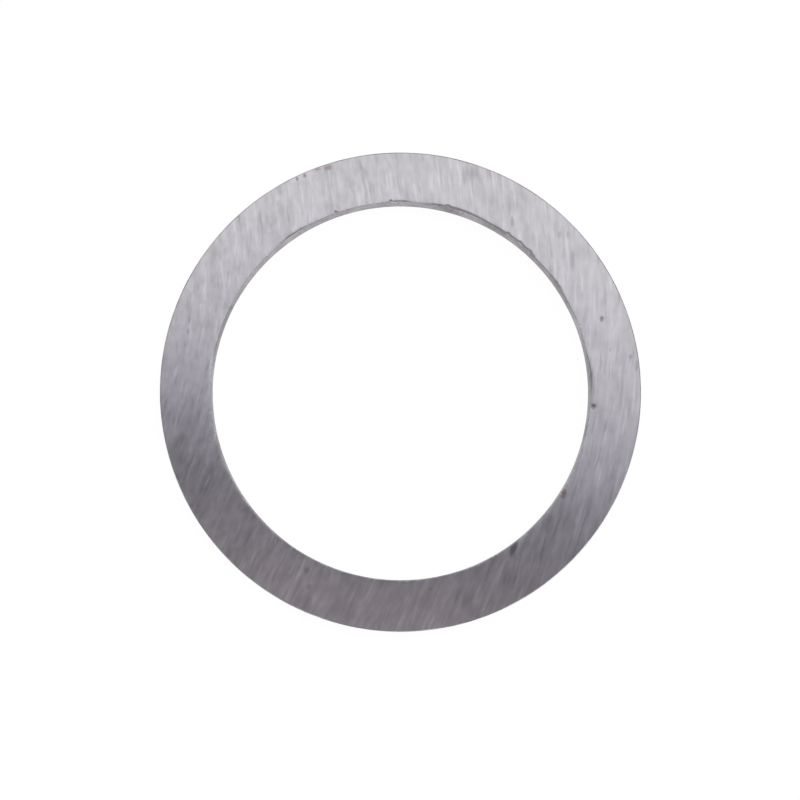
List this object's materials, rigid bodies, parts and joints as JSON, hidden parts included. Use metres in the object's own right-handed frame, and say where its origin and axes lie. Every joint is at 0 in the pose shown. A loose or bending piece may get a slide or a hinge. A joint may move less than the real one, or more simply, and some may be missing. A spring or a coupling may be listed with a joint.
{
  "type": "shim ring",
  "caption": "Flat ground steel ring with a plain bore and lightly rounded edges, used to take up end play on a shaft.",
  "frame": {"origin": "centre of the bore at the lower face, which the ring rests on", "axes": "+Z along the ring's axis, out of the upper face; X and Y lie in the lower face and are free to turn"},
  "size_m": [0.047, 0.047, 0.0025],
  "materials": {
    "ground_steel": "ground, with long curved grinding marks across both faces"
  },
  "bodies": {
    "root": {"shim_ring": "ground_steel"}
  },
  "joints": []
}
